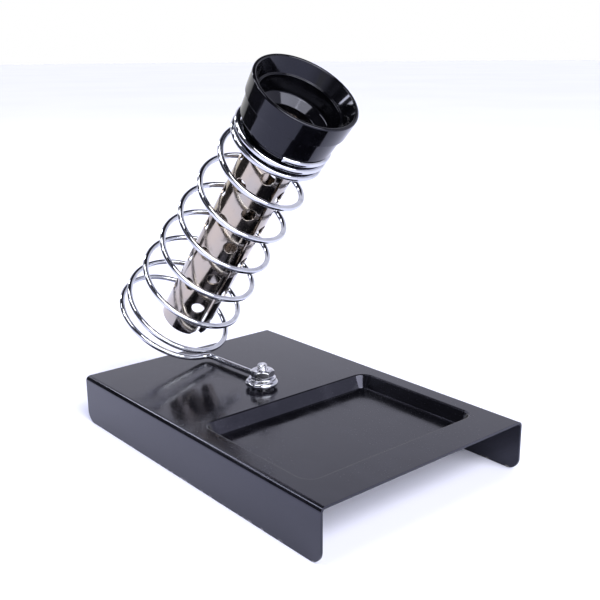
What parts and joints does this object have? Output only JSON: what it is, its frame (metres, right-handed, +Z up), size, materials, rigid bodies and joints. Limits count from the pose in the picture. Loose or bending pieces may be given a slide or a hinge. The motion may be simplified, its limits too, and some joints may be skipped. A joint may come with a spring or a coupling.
{
  "type": "soldering iron stand",
  "caption": "Soldering iron stand: folded black steel base with a pressed sponge tray, and a chromed wire spring that carries a funnel cup and a perforated guard tube.",
  "frame": {"origin": "bottom centre of the box round the whole stand, on the plane the two flanges rest on", "axes": "+Z up, +Y towards the coil end and away from the sponge tray, +X across the base"},
  "size_m": [0.1, 0.176, 0.1523],
  "materials": {
    "black_paint": "gloss",
    "plated_steel": "satin",
    "chromed_wire": "gloss",
    "nickelled_steel": "gloss",
    "phenolic": "gloss"
  },
  "bodies": {
    "base": {"base_plate": "black_paint", "clamp_screw": "plated_steel", "lock_washer": "plated_steel", "flat_washer": "plated_steel"},
    "iron_holder": {"spring": "chromed_wire", "cup": "phenolic", "perforated_tube": "nickelled_steel"},
    "nut": {"clamp_nut": "plated_steel"}
  },
  "joints": [
    {"name": "holder_swivel", "type": "hinge", "parent": "base", "child": "iron_holder", "pos_m": [0, 0.00457, 0.0202], "axis": [0, 0, 1], "continuous": true},
    {"name": "nut_turn", "type": "hinge", "parent": "base", "child": "nut", "pos_m": [0, 0.00457, 0.0257], "axis": [0, 0, 1], "continuous": true}
  ]
}
